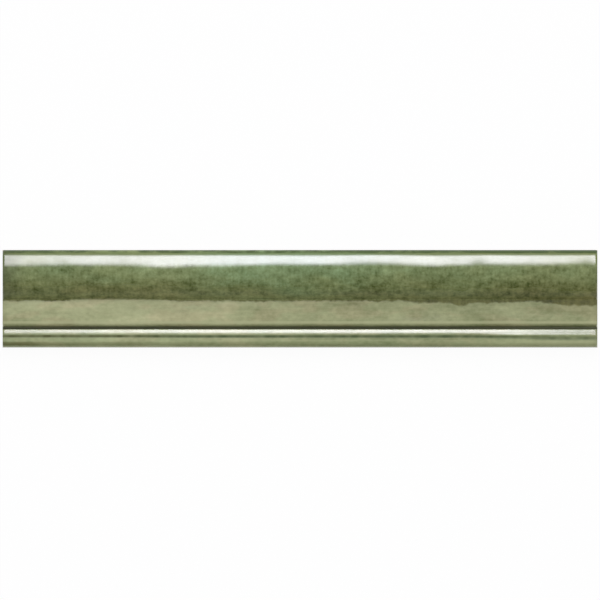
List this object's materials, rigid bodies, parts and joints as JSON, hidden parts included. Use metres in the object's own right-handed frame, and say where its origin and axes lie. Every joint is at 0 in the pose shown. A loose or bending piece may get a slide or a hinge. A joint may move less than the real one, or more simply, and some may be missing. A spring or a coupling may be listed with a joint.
{
  "type": "ceramic tile molding",
  "caption": "Straight glazed ceramic chair-rail molding with a nosed ovolo, a flat fascia, a quirked bead, a foot and a hollow keyed back, bonded to a wall as trim above tiles.",
  "frame": {"origin": "middle of the molding's back plane, midway along its length and midway between its two long edges", "axes": "+X along the length, +Y towards the nosed edge that is uppermost on a wall, +Z out of the glazed face, away from the wall"},
  "size_m": [0.305, 0.05, 0.02],
  "materials": {
    "green_glaze": "glossy translucent sage green glaze, mottled and pooling darker in the hollows, over a buff fired body that is left bare on the back"
  },
  "bodies": {
    "root": {"molding": "green_glaze"}
  },
  "joints": []
}
